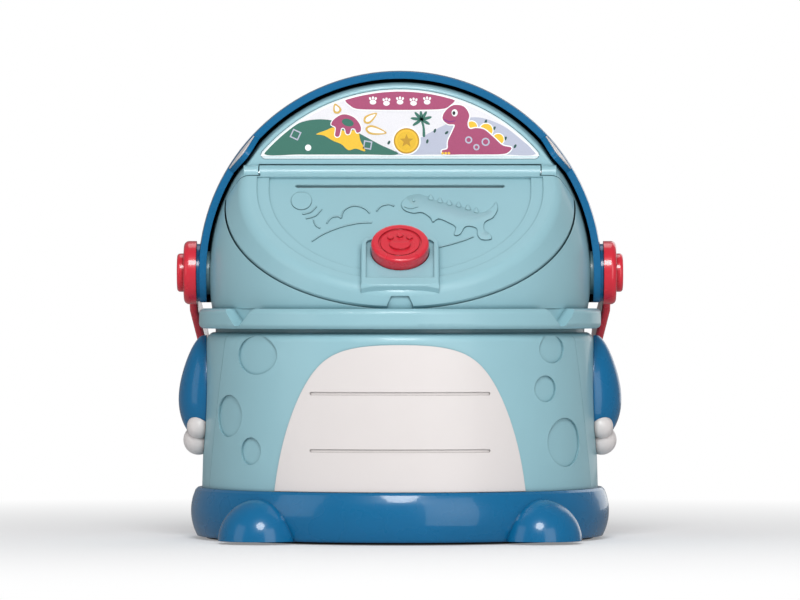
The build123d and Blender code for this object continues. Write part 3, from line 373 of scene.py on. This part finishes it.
left_hill = smooth_loop([(-56.0, 48.9), (-50.5, 55.0), (-43.0, 61.2), (-34.5, 63.3), (-25.5, 62.2),
                         (-17.0, 57.6), (-8.5, 53.0), (-0.8, 48.9), (-14.0, 48.8), (-28.0, 48.8),
                         (-42.0, 48.8)])
right_hill = smooth_loop([(-3.0, 48.9), (3.0, 52.6), (10.0, 56.5), (20.0, 61.6), (31.0, 64.2), (41.5, 61.2),
                          (50.0, 55.0), (56.0, 48.9), (42.0, 48.8), (28.0, 48.8), (12.0, 48.8)])
printed("right_hill", inside_label(right_hill, 1.1), 3, LAVENDER)
printed("left_hill", inside_label(left_hill, 1.1), 4, GREEN)

for index, (across, height, size, turn) in enumerate([(-43.2, 57.0, 1.9, 20), (-13.4, 52.7, 1.7, 35)]):
    for ring, (margin, material) in enumerate([(0.75, LAVENDER), (0.0, GREEN)]):
        corners = [(across + (size + margin) * math.cos(math.radians(turn + quarter)),
                    height + (size + margin) * math.sin(math.radians(turn + quarter)))
                   for quarter in (0, 90, 180, 270)]
        printed(f"left_hill_tile_{index}_{ring}", corners, 5 + ring, material)
printed("left_hill_pebble", ellipse_loop(-38.0, 51.6, 1.3, 1.3), 5, WHITE)
for index, (across, height, turn) in enumerate([
        (-4.6, 53.7, 60), (11.3, 54.2, 75), (14.4, 58.6, 70), (19.3, 57.8, 40), (31.0, 61.0, 50),
        (35.5, 62.4, 70), (39.0, 59.6, 60), (43.6, 55.4, 65), (47.6, 52.2, 60)]):
    printed(f"right_hill_leaf_{index}", ellipse_loop(across, height, 0.9, 0.5, turn, 14), 4, DARK_GREEN)

lava = smooth_loop([(-27.0, 60.0), (-22.0, 58.2), (-17.6, 59.0), (-16.4, 54.6), (-14.4, 50.2),
                    (-18.2, 51.2), (-21.4, 50.6), (-24.2, 53.0), (-27.6, 54.4), (-31.4, 56.6),
                    (-34.6, 57.2), (-30.6, 58.8)])
printed("lava", lava, 5, YELLOW)
crown = smooth_loop([(-28.4, 61.2), (-27.0, 63.6), (-23.4, 65.4), (-19.2, 64.2), (-16.6, 61.2),
                     (-16.2, 58.6), (-17.8, 57.8), (-18.7, 59.4), (-20.1, 59.4), (-20.9, 57.4),
                     (-22.2, 57.4), (-22.9, 59.5), (-24.3, 59.5), (-25.2, 56.4), (-26.8, 56.6),
                     (-26.6, 59.9)])
outlined("crown", crown, 6, MAGENTA, 0.4)
printed("crater", ellipse_loop(-21.6, 62.0, 2.5, 1.5, -18), 8, GREEN)

for index, (across, height, length, width, turn) in enumerate([
        (-26.2, 67.8, 4.4, 3.2, 112), (-12.2, 64.0, 6.6, 3.3, 35), (-9.9, 58.6, 9.0, 3.6, -12)]):
    printed(f"spark_{index}_line", drop_loop(across, height, length, width, turn), 5, OCHRE)
    printed(f"spark_{index}", drop_loop(across, height, length - 1.7, width - 1.5, turn), 6, WHITE)

for index, (turn, length) in enumerate([(15, 4.4), (58, 4.0), (95, 3.6), (132, 4.2), (172, 4.6), (-30, 4.0),
                                        (214, 4.4)]):
    leaf_across = 8.9 + 0.5 * length * math.cos(math.radians(turn))
    leaf_height = 63.2 + 0.5 * length * math.sin(math.radians(turn))
    leaf = ellipse_loop(leaf_across, leaf_height, length / 2, 0.62, turn, 18)
    printed(f"palm_leaf_{index}", leaf, 5, GREEN)
palm_trunk = smooth_loop([(8.5, 63.2), (9.3, 63.2), (10.2, 60.0), (10.4, 56.4), (9.4, 56.4), (9.3, 60.0)])
printed("palm_trunk", palm_trunk, 5, GREEN)

COIN = (2.7, 54.4)
outlined("coin", ellipse_loop(*COIN, 5.3, 5.3, count=40), 6, DARK_GOLD, 0.6)
printed("coin_face", ellipse_loop(*COIN, 4.7, 4.7, count=40), 8, YELLOW)
printed("coin_ring", ellipse_loop(*COIN, 3.9, 3.9, count=40), 9, GOLD)
printed("coin_star", star_loop(*COIN, 2.9, 1.25), 10, DARK_GOLD)

ribbon = smooth_loop([(-22.4, 71.6), (-15.0, 73.4), (-7.5, 74.5), (0.0, 74.8), (7.5, 74.5), (15.0, 73.4),
                      (22.4, 71.6), (20.6, 69.0), (17.4, 67.6), (8.5, 67.3), (0.0, 67.2), (-8.5, 67.3),
                      (-17.4, 67.6), (-20.6, 69.0)])
outlined("ribbon", inside_label(ribbon, 1.0), 6, MAGENTA)
for index in range(5):
    foot_across = 5.6 * (index - 2)
    foot_height = 70.2 + 0.25 * (-1) ** index
    pad = ellipse_loop(foot_across, foot_height, 1.35, 1.0, count=20)
    printed(f"ribbon_print_{index}_pad", pad, 8, WHITE)
    for toe in (-1, 0, 1):
        printed(f"ribbon_print_{index}_toe_{toe + 1}",
                ellipse_loop(foot_across + 1.15 * toe, foot_height + 1.75 - 0.3 * abs(toe), 0.46, 0.62,
                             -20 * toe, 14), 8, WHITE)

for index, (across, height, radius) in enumerate([(29.6, 60.2, 2.3), (35.6, 58.8, 2.7), (40.6, 55.0, 2.3)]):
    outlined(f"back_plate_{index}", ellipse_loop(across, height, radius, radius), 5, YELLOW, 0.4)
long_neck = smooth_loop([(17.6, 63.6), (18.8, 66.8), (22.2, 69.2), (26.4, 68.6), (28.6, 65.2), (27.9, 61.6),
                         (28.8, 59.4), (31.6, 59.7), (35.0, 59.0), (39.0, 55.6), (42.4, 52.6), (46.0, 51.6),
                         (44.6, 49.6), (41.6, 48.9), (34.0, 48.8), (26.0, 48.8), (18.6, 48.8), (17.4, 50.4),
                         (19.6, 51.2), (19.9, 54.4), (21.6, 58.2), (22.6, 61.0), (19.8, 61.4)])
outlined("long_neck", long_neck, 7, MAGENTA, 0.5)
for index, (across, height, radius) in enumerate([(28.4, 54.8, 1.5), (31.6, 51.8, 1.3), (35.4, 54.0, 1.7)]):
    printed(f"long_neck_spot_{index}", ellipse_loop(across, height, radius, radius), 9, LAVENDER)
    middle = ellipse_loop(across, height, radius - 0.6, radius - 0.6)
    printed(f"long_neck_spot_{index}_middle", middle, 10, MAGENTA)
printed("long_neck_eye", ellipse_loop(22.6, 66.0, 1.25, 1.5), 9, WHITE)
printed("long_neck_pupil", ellipse_loop(22.3, 65.9, 0.62, 0.8), 10, BLACK)
printed("long_neck_mouth", smooth_loop([(18.4, 63.5), (20.4, 62.6), (22.8, 62.9), (22.6, 62.5),
                                        (20.2, 62.1), (18.2, 63.1)]), 9, PURPLE)
for toe in range(3):
    printed(f"long_neck_toe_{toe}", ellipse_loop(17.6 + 1.3 * toe, 49.3, 0.55, 0.55, count=16), 9, YELLOW)


# ---- shallow moulded picture on the door ----------------------------------------------------------
RELIEF = 0.32 * MM
RELIEF_SOFT = 0.22 * MM
DOOR_PLASTIC = SLOT_MATERIALS["light_blue"]


def moulded_shape(name, loop, height=RELIEF):
    """Raised shape of the door's field."""
    plate(f"relief_{name}", loop, on_slope, -0.1 * MM, height, DOOR_PLASTIC, "door", RELIEF_SOFT)


def band_loop(points, width):
    """Narrow band along a few points."""
    line = []
    for index in range(len(points) - 1):
        before = points[max(index - 1, 0)]
        start, end = points[index], points[index + 1]
        after = points[min(index + 2, len(points) - 1)]
        for step in range(BAND_STEPS):
            line.append(Vector(curve_point(before, start, end, after, step / BAND_STEPS)))
    line.append(Vector(points[-1]))
    left, right = [], []
    for index, point in enumerate(line):
        along = (line[min(index + 1, len(line) - 1)] - line[max(index - 1, 0)]).normalized()
        side = Vector((-along.y, along.x)) * (width / 2)
        left.append(tuple(point + side))
        right.append(tuple(point - side))
    return left + list(reversed(right))


moulded_shape("sun", ellipse_loop(-40.5, 29.5, 4.4, 3.9, count=36))
moulded_shape("sun_ray_low", band_loop([(-40.0, 23.9), (-36.6, 24.8), (-34.2, 27.2)], 0.7))
moulded_shape("sun_ray_high", band_loop([(-38.6, 22.0), (-34.6, 23.2), (-32.0, 26.0)], 0.6))
moulded_shape("hill_line", band_loop([(-36.0, 12.6), (-31.0, 15.8), (-24.0, 18.6), (-16.8, 20.2),
                                      (-11.4, 20.4)], 0.7))
moulded_shape("hill_line_right", band_loop([(15.0, 10.0), (20.0, 11.2), (26.0, 13.0), (30.0, 14.6)], 0.6))
moulded_shape("bush", band_loop([(-35.4, 21.6), (-34.6, 19.4), (-32.6, 18.0)], 0.7))
moulded_shape("cloud_small", band_loop([(-30.0, 20.0), (-28.2, 22.4), (-25.6, 23.0), (-24.0, 22.2)], 0.7))
moulded_shape("cloud_middle", band_loop([(-24.0, 22.2), (-22.8, 25.6), (-19.0, 27.4), (-14.8, 26.4),
                                         (-12.4, 24.2)],
                                        0.7))
moulded_shape("cloud_right", band_loop([(-9.6, 25.0), (-7.8, 27.2), (-4.6, 28.0), (-2.4, 27.2)], 0.7))
walker = smooth_loop([(0.4, 28.0), (2.6, 30.8), (6.6, 32.2), (10.6, 31.4), (14.6, 29.6), (19.6, 28.2),
                      (25.0, 27.0), (30.0, 25.2), (34.2, 24.6), (37.6, 26.6), (39.4, 29.0), (40.2, 26.0),
                      (38.2, 22.4), (34.8, 20.4), (34.6, 17.2), (37.0, 15.4), (37.2, 13.4), (33.4, 13.2),
                      (31.6, 15.0), (31.0, 18.0), (27.0, 18.6), (24.6, 15.4), (22.0, 15.2), (22.6, 18.4),
                      (19.4, 20.4), (15.8, 21.8), (13.4, 20.4), (12.2, 22.4), (9.0, 24.4), (5.4, 24.2),
                      (1.8, 25.4)])
moulded_shape("walker", walker, 0.42 * MM)
moulded_shape("walker_eye", ellipse_loop(5.6, 29.6, 0.7, 0.7, count=18), 0.62 * MM)
moulded_shape("walker_jaw", band_loop([(1.6, 27.0), (4.4, 26.2), (7.4, 27.0)], 0.5), 0.62 * MM)
for index, (across, height) in enumerate([(12.6, 31.0), (16.4, 29.8), (20.2, 28.8), (24.0, 28.0),
                                          (27.8, 26.8), (31.2, 25.6)]):
    ridge = smooth_loop([(across - 1.1, height - 0.9), (across + 0.1, height + 1.1),
                         (across + 1.2, height - 1.2)], 4)
    moulded_shape(f"walker_ridge_{index}", ridge, 0.55 * MM)

# ---- spring under the button: a fixed steel coil in place of the CAD spring -----------------------
SPRING_LOW = 34.35 * MM               # ends of the coil, from the hub in the slope's outward direction
SPRING_HIGH = 48.45 * MM
SPRING_ALONG = -42.5 * MM             # its axis, along the slope
SPRING_RADIUS = 7.0 * MM
SPRING_WIRE = 0.4 * MM
SPRING_TURNS = 5
SPRING_STEPS = 36
WIRE_SIDES = 10


def coil_spring(name):
    """Wire wound round the button's axis."""
    build = bmesh.new()
    foot = HUB + SLOPE_OUT * SPRING_LOW + SLOPE_UP * SPRING_ALONG
    across = Vector((1.0, 0.0, 0.0))
    rise = (SPRING_HIGH - SPRING_LOW) / (2 * math.pi * SPRING_TURNS)
    rings = []
    for step in range(SPRING_TURNS * SPRING_STEPS + 1):
        angle = 2 * math.pi * step / SPRING_STEPS
        outward = across * math.cos(angle) + SLOPE_UP * math.sin(angle)
        along = (SLOPE_UP * math.cos(angle) - across * math.sin(angle)) * SPRING_RADIUS + SLOPE_OUT * rise
        side = along.normalized().cross(outward)
        centre = foot + outward * SPRING_RADIUS + SLOPE_OUT * rise * angle
        ring = []
        for corner in range(WIRE_SIDES):
            turn = 2 * math.pi * corner / WIRE_SIDES
            offset = outward * math.cos(turn) + side * math.sin(turn)
            ring.append(build.verts.new(centre + SPRING_WIRE * offset))
        rings.append(ring)
    for first, second in zip(rings, rings[1:]):
        for corner in range(WIRE_SIDES):
            following = (corner + 1) % WIRE_SIDES
            build.faces.new((first[corner], first[following], second[following], second[corner]))
    build.faces.new(list(reversed(rings[0])))
    build.faces.new(rings[-1])
    bmesh.ops.recalc_face_normals(build, faces=build.faces)
    mesh = bpy.data.meshes.new(name)
    build.to_mesh(mesh)
    build.free()
    mesh.shade_smooth()
    mesh.set_sharp_from_angle(angle=math.radians(50))
    mesh.materials.append(SLOT_MATERIALS["steel"])
    spring = bpy.data.objects.new(name, mesh)
    bpy.context.scene.collection.objects.link(spring)
    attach(spring, "door")
    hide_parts("button_spring")
    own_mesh(spring)


coil_spring("button_spring_coil")

# ---- stage ----------------------------------------------------------------------------------------
FLOOR_RADIUS = 1.8
BACKDROP_HEIGHT = 0.0002
SWEEP_START = 4.0
SWEEP_RADIUS = 3.0
SWEEP_STEPS = 12
SIDES = 96
HOLE_RADIUS = 0.35                    # the middle, closed by one face


def turned_sheet(name, profile, material):
    """Sheet turned round the upright axis."""
    build = bmesh.new()
    turns = [2 * math.pi * side / SIDES for side in range(SIDES)]
    rings = [[build.verts.new((radius * math.cos(turn), radius * math.sin(turn), height)) for turn in turns]
             for radius, height in profile]
    for inner, outer in zip(rings, rings[1:]):
        for side in range(SIDES):
            following = (side + 1) % SIDES
            build.faces.new((inner[side], outer[side], outer[following], inner[following]))
    build.faces.new(rings[0])
    mesh = bpy.data.meshes.new(name)
    build.to_mesh(mesh)
    build.free()
    mesh.shade_smooth()
    mesh.materials.append(material)
    sheet = bpy.data.objects.new(name, mesh)
    bpy.context.scene.collection.objects.link(sheet)
    return sheet


def studio_floor():
    """Pale floor."""
    nodes = Nodes("studio_paint")
    tone = nodes.mix(nodes.noise(3.0), srgb(246, 246, 247), srgb(249, 249, 250))
    nodes.set(Base_Color=tone, Roughness=0.8, Normal=nodes.bump(nodes.noise(260.0), 0.02),
              Specular_IOR_Level=0.2)
    floor = turned_sheet("studio_floor", [(HOLE_RADIUS, 0.0), (1.0, 0.0),
                                          (FLOOR_RADIUS, 0.0)], nodes.material)
    floor.visible_glossy = False


def studio_backdrop():
    """White sweep all round, clear near the object, which gives no light and shows only to the camera."""
    nodes = Nodes("studio_backdrop_white")
    distance = nodes.add("ShaderNodeVectorMath", {0: nodes.place}, operation="LENGTH").outputs["Value"]
    bright = nodes.add("ShaderNodeEmission", {"Color": (1.0, 1.0, 1.0, 1.0)}).outputs["Emission"]
    clear = nodes.add("ShaderNodeBsdfTransparent").outputs["BSDF"]
    blend = nodes.add("ShaderNodeMixShader", {"Fac": nodes.span(distance, 0.25, 1.0, 0.14, 0.5)})
    nodes.tree.links.new(clear, blend.inputs[1])
    nodes.tree.links.new(bright, blend.inputs[2])
    nodes.tree.links.new(blend.outputs["Shader"], nodes.tree.nodes["Material Output"].inputs["Surface"])
    profile = [(HOLE_RADIUS, BACKDROP_HEIGHT), (1.0, BACKDROP_HEIGHT), (SWEEP_START, BACKDROP_HEIGHT)]
    for step in range(1, SWEEP_STEPS + 1):
        angle = math.radians(90 * step / SWEEP_STEPS)
        profile.append((SWEEP_START + SWEEP_RADIUS * math.sin(angle),
                        BACKDROP_HEIGHT + SWEEP_RADIUS * (1 - math.cos(angle))))
    backdrop = turned_sheet("studio_backdrop", profile, nodes.material)
    for ray in ("diffuse", "glossy", "transmission", "volume_scatter", "shadow"):
        setattr(backdrop, f"visible_{ray}", False)


studio_floor()
studio_backdrop()


# ---- light and camera -------------------------------------------------------------------------------
TARGET = Vector((0.0, 0.0, 0.099))    # what the lights and the camera look at
CAMERA_DISTANCE = 2.5
CAMERA_LENS = 270.0
WORLD_STRENGTH = 0.25


def soft_light(name, place, size, power, size_y=None, shape="DISK"):
    """Area light turned to the object."""
    light = bpy.data.lights.new(name, "AREA")
    light.shape = shape
    light.size = size
    if size_y:
        light.size_y = size_y
    light.energy = power
    lamp = bpy.data.objects.new(name, light)
    lamp.location = place
    lamp.rotation_euler = (TARGET - Vector(place)).to_track_quat("-Z", "Y").to_euler()
    bpy.context.scene.collection.objects.link(lamp)


def from_front(azimuth, elevation, distance):
    """Place at some angle from the front, azimuth to the right."""
    across = math.radians(azimuth)
    up = math.radians(elevation)
    return TARGET + distance * Vector((math.sin(across) * math.cos(up), -math.cos(across) * math.cos(up),
                                       math.sin(up)))


soft_light("key", from_front(0, 37, 1.1), 0.42, 7.0)
soft_light("front_panel", from_front(28, 5, 1.7), 0.9, 9.0, 1.7, "RECTANGLE")
soft_light("left_panel", from_front(-60, 15, 1.7), 0.8, 3.0, 1.2, "RECTANGLE")
soft_light("top_back", from_front(180, 62, 1.7), 0.9, 3.0)
soft_light("back_panel", from_front(155, 18, 1.8), 0.9, 4.0, 1.4, "RECTANGLE")

world = bpy.data.worlds.new("studio")
world.use_nodes = True
world.node_tree.nodes["Background"].inputs["Color"].default_value = (0.97, 0.985, 1.0, 1.0)
world.node_tree.nodes["Background"].inputs["Strength"].default_value = WORLD_STRENGTH
scene = bpy.context.scene
scene.world = world
scene.view_settings.view_transform = "Standard"

camera_data = bpy.data.cameras.new("camera")
camera_data.sensor_width = 36.0
camera_data.lens = CAMERA_LENS
camera = bpy.data.objects.new("camera", camera_data)
camera.location = TARGET + Vector((0.0, -CAMERA_DISTANCE, 0.0))
camera.rotation_euler = (math.radians(90), 0.0, 0.0)
scene.collection.objects.link(camera)
scene.camera = camera
